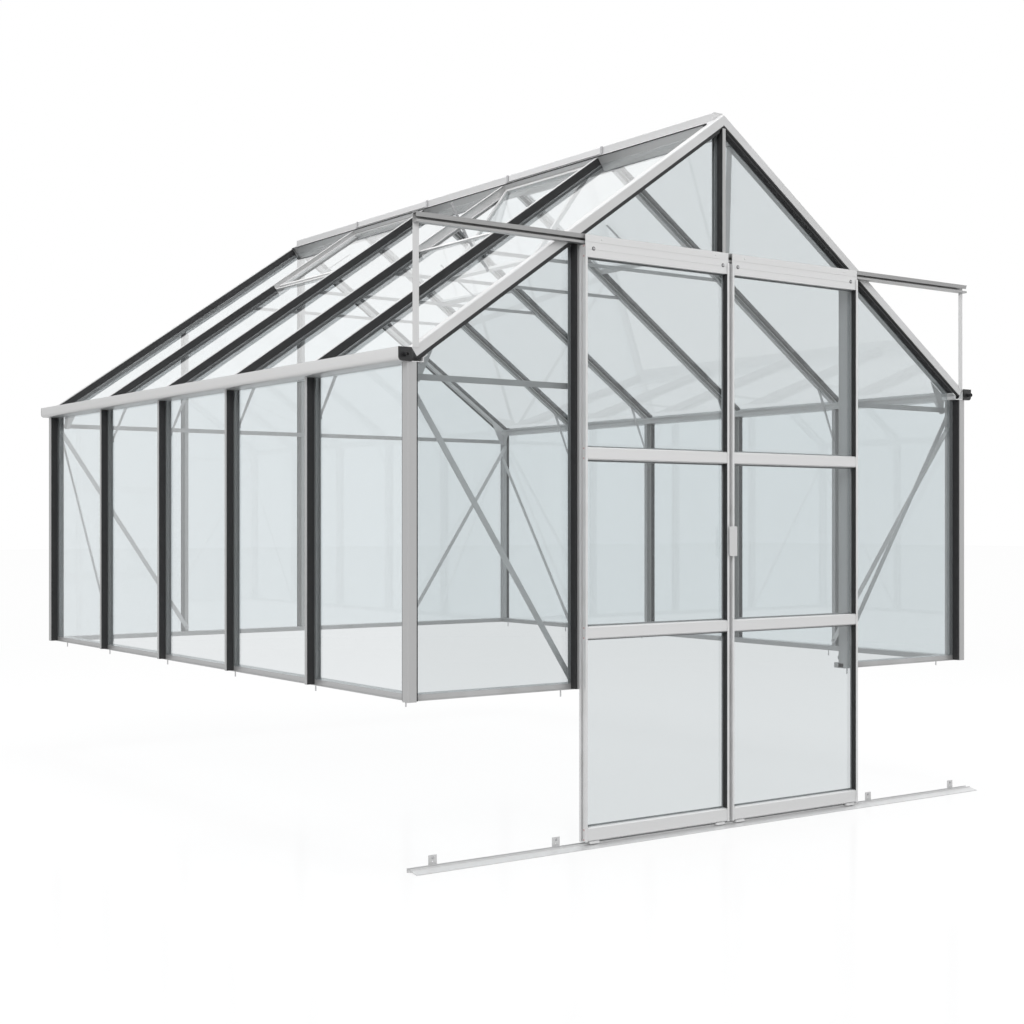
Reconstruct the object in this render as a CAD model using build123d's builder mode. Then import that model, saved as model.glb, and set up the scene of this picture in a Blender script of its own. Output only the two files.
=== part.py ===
from build123d import *
from math import atan2, cos, degrees, radians, sin, tan
import os

os.makedirs("parts", exist_ok=True)

# A glasshouse for a low wall: four bays across the gable and five along the side.
# Millimetres, +Z up, +X to the right of someone facing the doors, doors towards -Y.
# The origin is the middle of the rear sill's underside.

# House
glass_width = 2582.0  # between the outer faces of the side glass
glass_length = 3166.0  # between the outer faces of the gable glass
wall_bays = 5
eave_height = 1052.0
roof_pitch = 35.0
roof_lift = 14.0  # from the eaves to the roof's glass seat above the side glass
ridge_rise = 52.0  # from where the roof's two glass seats would meet
roof_stop = 4.0  # the roof glass stops this far, along the slope, before the side glass

# Glass and bars
glass_thickness = 3.0
bar_wall = 2.0
bar_fin = 30.0  # from the glass to the outer face of a bar
bar_head = 14.0
bar_seat = 32.0
bar_depth = 14.0  # from the glass seat to the inner face of a roof bar
bar_foot = 18.0
glass_edge = 2.5  # between a sheet of glass and the web of its bar
strip_width = 5.5
fitting_gap = 0.3

# Sills and corner posts
sill_height = 20.0
sill_depth = 46.0
sill_lip = 8.0
sill_setback = 2.0  # from the glass face to the sill's face
post_tube = 23.0  # from the glass seat to the inner face of posts and wall bars
nose_round = 5.0

# Eaves and ridge
gutter_reach = 65.0  # from the glass to the gutter's outer face
gutter_rise = 44.0
gutter_web = 28.0  # from the glass to the gutter's inner web
gutter_flange = 14.0
gutter_round = 14.0
cap_thickness = 4.0
cap_width = 47.0
spout_diameter = 14.0
spout_length = 18.0
spout_inset = 21.0
spout_level = 20.0
ridge_half_width = 27.0
ridge_skirt = 17.0
ridge_wall = 3.0
ridge_seat = 42.0  # along the slope, from the apex to the upper end of a roof bar

# Doorway and doors
jamb_face = 645.0  # from the middle to the inside of a jamb
jamb_head = 15.0
header_drop = 23.334  # from the roof's glass seat, over the inside of a jamb, down to the top of the header
header_height = 34.0
header_front = 10.0
track_lift = 17.0  # from the top of the header to the top of the track
track_height = 31.0
track_depth = 24.0
track_overhang = 13.0  # beyond the side glass
track_lip = 8.0
track_brow = 14.0
track_lean = 4.0
stay_plate = 22.0
leaf_bottom = -502.0
leaf_lap = 9.0  # how far a closed leaf covers its jamb
leaf_back = 37.0  # from the gable glass to the back of a leaf
stile_width = 9.0
stile_back = 14.0
seal_reach = 5.0
seal_depth = 10.0
rail_seat = 1.5
rail_bevel = 4.0
door_rail_height = 47.0
transom_height = 42.0
upper_transom = 785.0
lower_transom = 190.0
leaf_clearance = 6.0
door_clearance = 5.0
hanger_height = 74.0
hanger_thickness = 3.0
hanger_groove = 2.0
groove_depth = 1.0
lip_gap = 1.0  # from the face of a hanger to the back of the stiles' lips
roller_diameter = 20.0
roller_width = 8.0
roller_inset = 110.0
axle_diameter = 6.0
handle_height = 105.0
handle_level = 490.0
handle_reach = 10.0
handle_round = 3.0
handle_margin = 1.5
handle_plate = 3.0
lug_height = 12.0
lug_inset = 6.0
guide_width = 40.0

# Bottom rail
bottom_rail_overhang = 34.0
bottom_rail_depth = 58.0
bottom_rail_back = 30.0  # from the gable glass to the back of the rail
bottom_rail_rise = 13.0
bottom_rail_wall = 2.5
bed_rise = 6.0
ramp_rise = 9.0
guide_drop = 8.0
guide_half = 12.0
tab_width = 30.0
tab_thickness = 3.0
tab_rise = 30.0
tab_hole = 5.0
tab_hole_pitch = 13.0
tab_edge = 8.0
outer_tab_inset = 61.0  # from the outer tab to the side glass
inner_tab_gap = 105.0  # from the inner tab to its jamb

# Ties, braces and vents
strap_width = 20.0
strap_thickness = 3.0
tie_drop = 30.0
collar_height = 14.0
collar_rise = 501.0  # from the eaves to the middle of a collar tie
knee_drop = 147.0
knee_reach = 100.0
brace_step = 50.0  # between the heads of the two braces at a post
roof_brace_head = 90.0
roof_brace_foot = 90.0
gusset_reach = 80.0  # along the rafter
gusset_arm = 50.0  # along the wall
gusset_drop = 54.0
gusset_edge = 20.0
gusset_thickness = 2.0
vent_length = 505.0
vent_hinge = 4.0
vent_side_gap = 18.0
vent_frame = 14.0
vent_height = 16.0
vent_open_angle = 18.3
slam_width = 16.0
slam_height = 10.0
stay_width = 12.0
stay_length = 260.0
stay_tail = 150.0
stay_angle = 60.0
bolt_diameter = 5.0
bolt_length = 25.0
bolt_offset = 30.0

# Places worked out from the sizes
half_width = glass_width / 2
slope = radians(roof_pitch)
apex_height = eave_height + roof_lift + half_width * tan(slope)
ridge_height = apex_height + ridge_rise
roof_run = half_width / cos(slope) - roof_stop
header_top = apex_height - jamb_face * tan(slope) - header_drop
track_top = header_top + track_lift
track_bottom = track_top - track_height
rear_face = sill_setback + sill_depth / 2
front_face = rear_face - glass_length
mid_length = (front_face + rear_face) / 2
seat_x = half_width - glass_thickness
wall_pitch = glass_length / wall_bays
gable_bar = half_width / 2
bar_top = glass_thickness + bar_fin
web_half = bar_wall / 2
middle = Plane.XZ.offset(-mid_length)
bar_places = [front_face + wall_pitch * step for step in range(1, wall_bays)]
pane_gap = web_half + glass_edge
corner_gap = glass_thickness + bar_wall + glass_edge
fin_foot = bar_wall + fitting_gap
strip_depth = bar_fin - bar_wall
post_face = seat_x - post_tube
gable_inside = front_face + glass_thickness + post_tube


def slope_point(run, rise):
    """A point of the right slope in the XZ plane: run goes down it and rise goes out of it."""
    return (run * cos(slope) + rise * sin(slope), apex_height - run * sin(slope) + rise * cos(slope))


def slope_height(x, rise):
    """The height, at the distance x from the middle, of a plane parallel to the roof."""
    return apex_height + rise / cos(slope) - abs(x) * tan(slope)


def slope_reach(height, rise):
    """How far from the middle a plane parallel to the roof meets a height."""
    return (apex_height + rise / cos(slope) - height) / tan(slope)


def wall_plane(y, z):
    """Section plane of an upright in the right wall, its Y pointing out of the house."""
    return Plane(origin=(seat_x, y, z), x_dir=(0, -1, 0), z_dir=(0, 0, 1))


def gable_plane(x, z):
    """Section plane of an upright in the front gable, its Y pointing out of the house."""
    return Plane(origin=(x, front_face + glass_thickness, z), x_dir=(-1, 0, 0), z_dir=(0, 0, 1))


def roof_plane(y, run):
    """Section plane of a bar in the right slope, its Y pointing out of the house."""
    x, z = slope_point(run, 0)
    return Plane(origin=(x, y, z), x_dir=(0, 1, 0), z_dir=(cos(slope), 0, -sin(slope)))


def block(x0, x1, y0, y1, mode=Mode.ADD):
    """A rectangle between two corners, for use inside a sketch."""
    with Locations(((x0 + x1) / 2, (y0 + y1) / 2)):
        Rectangle(abs(x1 - x0), abs(y1 - y0), mode=mode)


def outline(*points):
    """A filled polygon, for use inside a sketch."""
    Polygon(*points, align=None)


def bar_sketch(plane, depth):
    """A glazing bar: a fin with a head outside, a seat for the glass and a foot inside."""
    with BuildSketch(plane) as section:
        block(-web_half, web_half, -depth, bar_top)
        block(-bar_head / 2, bar_head / 2, bar_top - bar_wall, bar_top)
        block(-bar_seat / 2, bar_seat / 2, -bar_wall, 0)
        block(-bar_foot / 2, bar_foot / 2, -depth, bar_wall - depth)
    return section.sketch


def fin_sketch(plane):
    """The outer half of a glazing bar, which runs on past its seat."""
    with BuildSketch(plane) as section:
        block(-web_half, web_half, glass_thickness, bar_top)
        block(-bar_head / 2, bar_head / 2, bar_top - bar_wall, bar_top)
    return section.sketch


def strip_sketch(plane, sides):
    """Glazing strips on the flanks of a fin, on the sides named as 1 or -1."""
    with BuildSketch(plane) as section:
        for side in sides:
            edge = side * (web_half + strip_width)
            block(side * web_half, edge, glass_thickness, bar_top - bar_wall)
    return section.sketch


def nose_sketch(plane):
    """The hollow nose that closes a corner outside, from the corner of the two panes."""
    with BuildSketch(plane) as section:
        block(-sill_setback, bar_fin, -sill_setback, bar_fin)
        fillet(section.vertices().sort_by(lambda corner: corner.X + corner.Y)[-1], nose_round)
        offset(amount=-bar_wall, mode=Mode.SUBTRACT)
    return section.sketch


def tube_sketch(plane, depth_x, depth_y):
    """The tube inside a corner that both panes lie on, with the web to its nose."""
    with BuildSketch(plane) as section:
        block(-glass_thickness - depth_x, -glass_thickness, -glass_thickness - depth_y, -glass_thickness)
        offset(amount=-bar_wall, mode=Mode.SUBTRACT)
        block(-glass_thickness - bar_wall, 0, -glass_thickness - bar_wall, 0)
    return section.sketch


def corner_strip_sketch(plane):
    """Glazing strips on the two flanks of a nose."""
    with BuildSketch(plane) as section:
        edge = -sill_setback - strip_width
        block(edge, -sill_setback, 0, strip_depth)
        block(0, strip_depth, edge, -sill_setback)
    return section.sketch


def write(piece, name):
    """Label a finished piece and write it."""
    piece.part.label = name
    export_step(piece.part, f"parts/{name}.step")


def sill_sketch(plane):
    """The sill: a hollow section with a lip along the foot of its face."""
    with BuildSketch(plane) as section:
        block(-sill_depth, 0, 0, sill_height)
        block(bar_wall - sill_depth, -bar_wall, bar_wall, sill_height - bar_wall, Mode.SUBTRACT)
        block(0, sill_lip, 0, bar_wall)
    return section.sketch


# Sills, mitred at the corners and open at the doorway
sill_x = half_width - sill_setback
sill_front = front_face + sill_setback
sill_rear = rear_face - sill_setback
mitre = Plane(origin=(sill_x, sill_front, 0), x_dir=(0, 0, 1), z_dir=(1, 1, 0))
rear_mitre = Plane(origin=(sill_x, sill_rear, 0), x_dir=(0, 0, 1), z_dir=(1, -1, 0))

with BuildPart() as side_sills:
    side_plane = Plane(origin=(sill_x, sill_rear, 0), x_dir=(1, 0, 0), z_dir=(0, -1, 0))
    extrude(sill_sketch(side_plane), amount=sill_rear - sill_front)
    split(bisect_by=mitre, keep=Keep.TOP)
    split(bisect_by=rear_mitre, keep=Keep.TOP)
    mirror(about=Plane.YZ)
write(side_sills, "side_sills")

with BuildPart() as front_sills:
    front_plane = Plane(origin=(sill_x, sill_front, 0), x_dir=(0, -1, 0), z_dir=(-1, 0, 0))
    extrude(sill_sketch(front_plane), amount=sill_x - jamb_face)
    split(bisect_by=mitre, keep=Keep.BOTTOM)
    mirror(about=Plane.YZ)
write(front_sills, "front_sills")

with BuildPart() as rear_sill:
    half_plane = Plane(origin=(sill_x, sill_front, 0), x_dir=(0, -1, 0), z_dir=(-1, 0, 0))
    extrude(sill_sketch(half_plane), amount=sill_x)
    split(bisect_by=mitre, keep=Keep.BOTTOM)
    mirror(about=Plane.YZ)
    mirror(about=middle, mode=Mode.REPLACE)
write(rear_sill, "rear_sill")

# Corner posts
with BuildPart() as corner_posts:
    corner_point = (half_width, front_face)
    post_foot = Plane(origin=(*corner_point, 0), x_dir=(0, -1, 0), z_dir=(0, 0, 1))
    tube_foot = Plane(origin=(*corner_point, sill_height), x_dir=(0, -1, 0), z_dir=(0, 0, 1))
    extrude(nose_sketch(post_foot), amount=eave_height)
    extrude(tube_sketch(tube_foot, post_tube, post_tube), amount=eave_height - sill_height)
    mirror(about=Plane.YZ)
    mirror(about=middle)
write(corner_posts, "corner_posts")

# Glazing bars of the side walls
with BuildPart() as right_wall_bars:
    for y in bar_places:
        extrude(bar_sketch(wall_plane(y, sill_height), post_tube), amount=eave_height - sill_height)
        extrude(fin_sketch(wall_plane(y, fin_foot)), amount=sill_height - fin_foot)
write(right_wall_bars, "right_wall_bars")

with BuildPart() as left_wall_bars:
    add(mirror(right_wall_bars.part, about=Plane.YZ, mode=Mode.PRIVATE))
write(left_wall_bars, "left_wall_bars")

# Glazing bars of the gables, which stop under the rafters
nose_under = glass_thickness - sill_setback - strip_width


def bar_tops(x):
    """Heights where the inner and the outer half of a gable bar stop under the rafter."""
    inner = slope_height(abs(x) + bar_seat / 2, -bar_depth)
    outer = slope_height(abs(x) + bar_head / 2, nose_under)
    return inner, outer


with BuildPart() as rear_gable_bars:
    for x in (-gable_bar, 0, gable_bar):
        inner_top, outer_top = bar_tops(x)
        extrude(bar_sketch(gable_plane(x, sill_height), post_tube), amount=inner_top - sill_height)
        extrude(fin_sketch(gable_plane(x, fin_foot)), amount=sill_height - fin_foot)
        extrude(fin_sketch(gable_plane(x, inner_top)), amount=outer_top - inner_top)
    mirror(about=middle, mode=Mode.REPLACE)
write(rear_gable_bars, "rear_gable_bars")

with BuildPart() as front_gable_bar:
    inner_top, outer_top = bar_tops(0)
    extrude(bar_sketch(gable_plane(0, header_top), post_tube), amount=inner_top - header_top)
    extrude(fin_sketch(gable_plane(0, inner_top)), amount=outer_top - inner_top)
write(front_gable_bar, "front_gable_bar")

# Doorway: jambs and header
jamb_outer = jamb_face + jamb_head
jamb_inner_top = slope_height(jamb_outer + bar_seat / 2, -bar_depth)
jamb_outer_top = slope_height(jamb_outer, nose_under)


def jamb_fin(plane):
    """The part of a jamb outside the glass."""
    with BuildSketch(plane) as section:
        block(0, jamb_head, glass_thickness, bar_top)
        offset(amount=-bar_wall, mode=Mode.SUBTRACT)
    return section.sketch


def jamb_section(plane):
    """The jamb: a tube from the inner face to the head, with a seat for the side pane."""
    with BuildSketch(plane) as section:
        block(0, jamb_head, -post_tube, bar_top)
        offset(amount=-bar_wall, mode=Mode.SUBTRACT)
        block(jamb_head, jamb_head + bar_seat / 2, -bar_wall, 0)
    return section.sketch


with BuildPart() as door_jambs:
    extrude(jamb_section(gable_plane(-jamb_face, sill_height)), amount=jamb_inner_top - sill_height)
    extrude(jamb_fin(gable_plane(-jamb_face, fin_foot)), amount=sill_height - fin_foot)
    extrude(jamb_fin(gable_plane(-jamb_face, jamb_inner_top)), amount=jamb_outer_top - jamb_inner_top)
    mirror(about=Plane.YZ)
write(door_jambs, "door_jambs")

with BuildPart() as door_header:
    header_plane = Plane(
        origin=(jamb_face, front_face + glass_thickness, header_top - header_height),
        x_dir=(0, -1, 0),
        z_dir=(-1, 0, 0),
    )
    with BuildSketch(header_plane):
        block(-post_tube, header_front, 0, header_height)
        offset(amount=-bar_wall, mode=Mode.SUBTRACT)
    extrude(amount=2 * jamb_face)
write(door_header, "door_header")

# Rafters of the gables
with BuildPart() as front_rafters:
    start_x, start_z = slope_point(0, glass_thickness)
    seat_point_x, seat_point_z = slope_point(ridge_seat, glass_thickness)
    down = (cos(slope), 0, -sin(slope))
    out = (sin(slope), 0, cos(slope))
    apex_plane = Plane(origin=(start_x, front_face, start_z), x_dir=out, z_dir=down)
    seat_plane = Plane(origin=(seat_point_x, front_face, seat_point_z), x_dir=out, z_dir=down)
    extrude(nose_sketch(apex_plane.offset(-ridge_seat)), amount=roof_run + ridge_seat)
    split(bisect_by=Plane.YZ, keep=Keep.TOP)
    extrude(tube_sketch(seat_plane, bar_depth, post_tube), amount=roof_run - ridge_seat)
    mirror(about=Plane.YZ)
write(front_rafters, "front_rafters")

with BuildPart() as rear_rafters:
    add(mirror(front_rafters.part, about=middle, mode=Mode.PRIVATE))
write(rear_rafters, "rear_rafters")

# Ridge beam
skirt_x, skirt_z = slope_point(ridge_seat, bar_top)
seat_low_x, seat_low_z = slope_point(ridge_seat, -bar_depth)
round_off = nose_round


def cross_plane(y):
    """The section plane across the house at a distance y, seen from the front."""
    return Plane(origin=(0, y, 0), x_dir=(1, 0, 0), z_dir=(0, -1, 0))


def ridge_cap_points():
    """The outline of the ridge above its seats, clockwise from the left skirt."""
    right = [
        (ridge_half_width - round_off, ridge_height),
        (ridge_half_width, ridge_height - round_off),
        (ridge_half_width, skirt_z + ridge_skirt),
        (skirt_x, skirt_z),
    ]
    return [(-x, z) for x, z in reversed(right)] + right


with BuildPart() as ridge_beam:
    with BuildSketch(cross_plane(2 * mid_length - gable_inside)):
        outline(*ridge_cap_points(), (seat_low_x, seat_low_z), (-seat_low_x, seat_low_z))
        offset(amount=-ridge_wall, mode=Mode.SUBTRACT)
    extrude(amount=2 * (mid_length - gable_inside))
    with BuildSketch(cross_plane(gable_inside)):
        outline(*ridge_cap_points())
        offset(amount=-ridge_wall, mode=Mode.SUBTRACT)
    extrude(amount=gable_inside - sill_front)
    with BuildSketch(cross_plane(sill_rear)):
        outline(*ridge_cap_points())
        offset(amount=-ridge_wall, mode=Mode.SUBTRACT)
    extrude(amount=gable_inside - sill_front)
write(ridge_beam, "ridge_beam")

# Roof bars
with BuildPart() as right_roof_bars:
    for y in bar_places:
        extrude(bar_sketch(roof_plane(y, ridge_seat), bar_depth), amount=roof_run - ridge_seat)
write(right_roof_bars, "right_roof_bars")

with BuildPart() as left_roof_bars:
    add(mirror(right_roof_bars.part, about=Plane.YZ, mode=Mode.PRIVATE))
write(left_roof_bars, "left_roof_bars")

# Gutters with their end caps
gutter_inner = half_width - gutter_web
gutter_outer = half_width + gutter_reach
gutter_top = eave_height + gutter_rise
gutter_front = front_face - bar_fin
gutter_length = 2 * (mid_length - gutter_front)
web_x = gutter_inner + bar_wall
flange_x = gutter_inner - gutter_flange
flange_drop = bar_wall / cos(slope)

with BuildPart() as gutters:
    with BuildSketch(cross_plane(gutter_front + gutter_length)):
        with BuildLine():
            Polyline(
                (flange_x, slope_height(flange_x, -bar_depth)),
                (web_x, slope_height(web_x, -bar_depth)),
                (web_x, eave_height + bar_wall),
                (gutter_outer - gutter_round, eave_height + bar_wall),
            )
            RadiusArc(
                (gutter_outer - gutter_round, eave_height + bar_wall),
                (gutter_outer - bar_wall, eave_height + gutter_round),
                -(gutter_round - bar_wall),
            )
            Polyline(
                (gutter_outer - bar_wall, eave_height + gutter_round),
                (gutter_outer - bar_wall, gutter_top - bar_wall),
                (gutter_outer - sill_lip, gutter_top - bar_wall),
                (gutter_outer - sill_lip, gutter_top),
                (gutter_outer, gutter_top),
                (gutter_outer, eave_height + gutter_round),
            )
            RadiusArc(
                (gutter_outer, eave_height + gutter_round),
                (gutter_outer - gutter_round, eave_height),
                gutter_round,
            )
            Polyline(
                (gutter_outer - gutter_round, eave_height),
                (gutter_inner, eave_height),
                (gutter_inner, slope_height(gutter_inner, -bar_depth) - flange_drop),
                (flange_x, slope_height(flange_x, -bar_depth) - flange_drop),
                (flange_x, slope_height(flange_x, -bar_depth)),
            )
        make_face()
    extrude(amount=gutter_length)
    mirror(about=Plane.YZ)
write(gutters, "gutters")

spout_x = gutter_outer - spout_inset
with BuildPart() as gutter_caps:
    with BuildSketch(cross_plane(gutter_front)) as cap_face:
        block(gutter_outer - cap_width, gutter_outer, eave_height, gutter_top)
        fillet(cap_face.vertices().group_by(Axis.Y)[0].sort_by(Axis.X)[-1], gutter_round)
        with Locations((spout_x, eave_height + spout_level)):
            Circle(spout_diameter / 2 - bar_wall, mode=Mode.SUBTRACT)
    extrude(amount=cap_thickness)
    with BuildSketch(cross_plane(gutter_front - cap_thickness)):
        with Locations((spout_x, eave_height + spout_level)):
            Circle(spout_diameter / 2)
            Circle(spout_diameter / 2 - bar_wall, mode=Mode.SUBTRACT)
    extrude(amount=spout_length)
    mirror(about=Plane.YZ)
    mirror(about=middle)
write(gutter_caps, "gutter_caps")

# Ties, braces and gussets
tie_top = eave_height - tie_drop


def strap(start, end):
    """A flat bar between two points of a sketch plane, with round ends."""
    along = Vector(*end) - Vector(*start)
    with Locations((Vector(*start) + Vector(*end)) / 2):
        SlotCenterToCenter(along.length, strap_width, rotation=degrees(atan2(along.Y, along.X)))


with BuildPart() as gable_ties:
    with BuildSketch(cross_plane(gable_inside + strap_thickness)):
        block(jamb_face, seat_x - bar_wall, tie_top - strap_width, tie_top)
    extrude(amount=strap_thickness)
    mirror(about=Plane.YZ)
    with BuildSketch(cross_plane(2 * mid_length - gable_inside)):
        block(bar_wall - seat_x, seat_x - bar_wall, tie_top - strap_width, tie_top)
    extrude(amount=strap_thickness)
write(gable_ties, "gable_ties")

collar_half = collar_height / 2
collar_level = eave_height + collar_rise
with BuildPart() as collar_ties:
    for y in bar_places:
        with BuildSketch(cross_plane(y + strap_thickness / 2)):
            low_x = slope_reach(collar_level - collar_half, -bar_depth)
            high_x = slope_reach(collar_level + collar_half, -bar_depth)
            low_z = collar_level - collar_half
            high_z = collar_level + collar_half
            outline((-low_x, low_z), (low_x, low_z), (high_x, high_z), (-high_x, high_z))
        extrude(amount=strap_thickness)
write(collar_ties, "collar_ties")

knee_foot = eave_height - knee_drop
knee_inner = post_face - knee_reach
knee_outer = knee_inner + strap_width
with BuildPart() as knee_braces:
    for y in bar_places:
        with BuildSketch(cross_plane(y + strap_thickness / 2)):
            outline(
                (post_face, knee_foot),
                (post_face, knee_foot + strap_width),
                (knee_outer, slope_height(knee_outer, -bar_depth)),
                (knee_inner, slope_height(knee_inner, -bar_depth)),
            )
        extrude(amount=strap_thickness)
    mirror(about=Plane.YZ)
write(knee_braces, "knee_braces")

brace_foot = sill_height + strap_width
post_centre = half_width - glass_thickness - post_tube / 2
front_post_y = front_face + glass_thickness + post_tube / 2
rear_post_y = 2 * mid_length - front_post_y
brace_head = tie_top - 2 * strap_width
wall_brace_head = brace_head - brace_step
right_side = Plane(origin=(post_face - strap_thickness, 0, 0), x_dir=(0, 1, 0), z_dir=(1, 0, 0))
left_side = Plane(origin=(-post_face, 0, 0), x_dir=(0, 1, 0), z_dir=(1, 0, 0))

with BuildPart() as wall_braces:
    with BuildSketch(right_side):
        strap((front_post_y, wall_brace_head), (bar_places[0], brace_foot))
        strap((rear_post_y, wall_brace_head), (bar_places[-1], brace_foot))
    extrude(amount=strap_thickness)
    with BuildSketch(left_side):
        strap((rear_post_y, wall_brace_head), (bar_places[-1], brace_foot))
    extrude(amount=strap_thickness)
write(wall_braces, "wall_braces")

with BuildPart() as gable_braces:
    with BuildSketch(cross_plane(gable_inside + strap_thickness)):
        strap((post_centre, brace_head), (jamb_face + jamb_head / 2, brace_foot))
    extrude(amount=strap_thickness)
    mirror(about=Plane.YZ)
    with BuildSketch(cross_plane(2 * mid_length - gable_inside)):
        strap((post_centre, brace_head), (gable_bar, brace_foot))
        strap((-post_centre, brace_head), (-gable_bar, brace_foot))
    extrude(amount=strap_thickness)
write(gable_braces, "gable_braces")

with BuildPart() as roof_brace:
    brace_x, brace_z = slope_point(0, -bar_depth - strap_thickness)
    slope_plane = Plane(
        origin=(brace_x, 0, brace_z), x_dir=(0, 1, 0), z_dir=(sin(slope), 0, cos(slope))
    )
    with BuildSketch(slope_plane):
        strap((front_post_y, -roof_brace_head), (bar_places[1], roof_brace_foot - roof_run))
    extrude(amount=strap_thickness)
write(roof_brace, "roof_brace")

gusset_x = post_face - strap_thickness
gusset_y = gable_inside + strap_thickness
gusset_foot = eave_height - gusset_drop
gusset_side = flange_x - fitting_gap
with BuildPart() as corner_gussets:
    with BuildSketch(cross_plane(gusset_y + gusset_thickness)):
        outline(
            (gusset_x, gusset_foot),
            (gusset_x, eave_height),
            (gusset_side, eave_height),
            (gusset_side, slope_height(gusset_side, -bar_depth)),
            (gusset_x - gusset_reach, slope_height(gusset_x - gusset_reach, -bar_depth)),
            (gusset_x - gusset_edge, gusset_foot),
        )
    extrude(amount=gusset_thickness)
    with BuildSketch(Plane(origin=(gusset_x, 0, 0), x_dir=(0, 1, 0), z_dir=(1, 0, 0))):
        outline(
            (gusset_y, eave_height),
            (gusset_y + gusset_arm, eave_height),
            (gusset_y + gusset_edge, gusset_foot),
            (gusset_y, gusset_foot),
        )
    extrude(amount=-gusset_thickness)
    mirror(about=Plane.YZ)
    mirror(about=middle)
write(corner_gussets, "corner_gussets")

# Glass of the walls
pane_foot = sill_height + fitting_gap
pane_head = eave_height - fitting_gap
pane_start = front_face + corner_gap
wall_stops = [pane_start] + bar_places + [2 * mid_length - pane_start]

with BuildPart() as right_wall_glass:
    with BuildSketch(Plane(origin=(seat_x, 0, 0), x_dir=(0, 1, 0), z_dir=(1, 0, 0))):
        for number, (start, stop) in enumerate(zip(wall_stops, wall_stops[1:])):
            near = start + (pane_gap if number > 0 else 0)
            far = stop - (pane_gap if number < wall_bays - 1 else 0)
            block(near, far, pane_foot, pane_head)
    extrude(amount=glass_thickness)
write(right_wall_glass, "right_wall_glass")

with BuildPart() as left_wall_glass:
    add(mirror(right_wall_glass.part, about=Plane.YZ, mode=Mode.PRIVATE))
write(left_wall_glass, "left_wall_glass")

# Glass of the gables, cut round the gutter and under the rafters
pane_under = -bar_wall - fitting_gap
pane_side = half_width - corner_gap
gutter_side = flange_x - fitting_gap


def gable_pane(inner, foot):
    """The outline of an outer gable pane of the right half."""
    outline(
        (inner, foot),
        (pane_side, foot),
        (pane_side, pane_head),
        (gutter_side, pane_head),
        (gutter_side, slope_height(gutter_side, pane_under)),
        (inner, slope_height(inner, pane_under)),
    )


def peak_pane(inner, outer, foot):
    """The outline of a gable pane that reaches the rafter beside the middle bar."""
    outline(
        (inner, foot),
        (outer, foot),
        (outer, slope_height(outer, pane_under)),
        (inner, slope_height(inner, pane_under)),
    )


with BuildPart() as front_gable_glass:
    with BuildSketch(cross_plane(front_face + glass_thickness)):
        gable_pane(jamb_outer + glass_edge, pane_foot)
        peak_pane(pane_gap, jamb_face - glass_edge, header_top + fitting_gap)
    extrude(amount=glass_thickness)
    mirror(about=Plane.YZ)
write(front_gable_glass, "front_gable_glass")

with BuildPart() as rear_gable_glass:
    with BuildSketch(cross_plane(rear_face)):
        gable_pane(gable_bar + pane_gap, pane_foot)
        peak_pane(pane_gap, gable_bar - pane_gap, pane_foot)
    extrude(amount=glass_thickness)
    mirror(about=Plane.YZ)
write(rear_gable_glass, "rear_gable_glass")

# Glass of the roof, open over the vents
vent_start = ridge_seat + vent_hinge
slam_start = vent_start + vent_length + fitting_gap
slam_end = slam_start + slam_width
vent_bays = range(1, wall_bays - 1, 2)
apex_x, apex_z = slope_point(0, 0)
roof_face = Plane(origin=(apex_x, 0, apex_z), x_dir=(0, 1, 0), z_dir=(sin(slope), 0, cos(slope)))

with BuildPart() as right_roof_glass:
    with BuildSketch(roof_face):
        for number, (start, stop) in enumerate(zip(wall_stops, wall_stops[1:])):
            near = start + (pane_gap if number > 0 else 0)
            far = stop - (pane_gap if number < wall_bays - 1 else 0)
            head = slam_end if number in vent_bays else ridge_seat
            block(near, far, -roof_run, -head - fitting_gap)
    extrude(amount=glass_thickness)
write(right_roof_glass, "right_roof_glass")

with BuildPart() as left_roof_glass:
    add(mirror(right_roof_glass.part, about=Plane.YZ, mode=Mode.PRIVATE))
write(left_roof_glass, "left_roof_glass")

# Glazing strips
strip_head = eave_height - fitting_gap
strip_under = nose_under - fitting_gap

with BuildPart() as wall_strips:
    post_strip = Plane(origin=(half_width, front_face, fin_foot), x_dir=(0, -1, 0), z_dir=(0, 0, 1))
    extrude(corner_strip_sketch(post_strip), amount=strip_head - fin_foot)
    mirror(about=middle)
    for y in bar_places:
        extrude(strip_sketch(wall_plane(y, fin_foot), (-1, 1)), amount=strip_head - fin_foot)
    mirror(about=Plane.YZ)
write(wall_strips, "wall_strips")

with BuildPart() as gable_strips:
    for x in (-gable_bar, 0, gable_bar):
        strip_top = slope_height(abs(x) + web_half + strip_width, strip_under)
        extrude(strip_sketch(gable_plane(x, fin_foot), (-1, 1)), amount=strip_top - fin_foot)
    mirror(about=middle, mode=Mode.REPLACE)
    strip_top = slope_height(web_half + strip_width, strip_under)
    header_face = header_top + fitting_gap
    extrude(strip_sketch(gable_plane(0, header_face), (-1, 1)), amount=strip_top - header_face)
    with BuildSketch(gable_plane(-jamb_face, fin_foot)) as jamb_left:
        block(jamb_head, jamb_head + strip_width, glass_thickness, bar_top - bar_wall)
    with BuildSketch(gable_plane(jamb_face, fin_foot)) as jamb_right:
        block(-jamb_head - strip_width, -jamb_head, glass_thickness, bar_top - bar_wall)
    jamb_strip_top = slope_height(jamb_outer + strip_width, strip_under)
    extrude(jamb_left.sketch, amount=jamb_strip_top - fin_foot)
    extrude(jamb_right.sketch, amount=jamb_strip_top - fin_foot)
write(gable_strips, "gable_strips")

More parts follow.
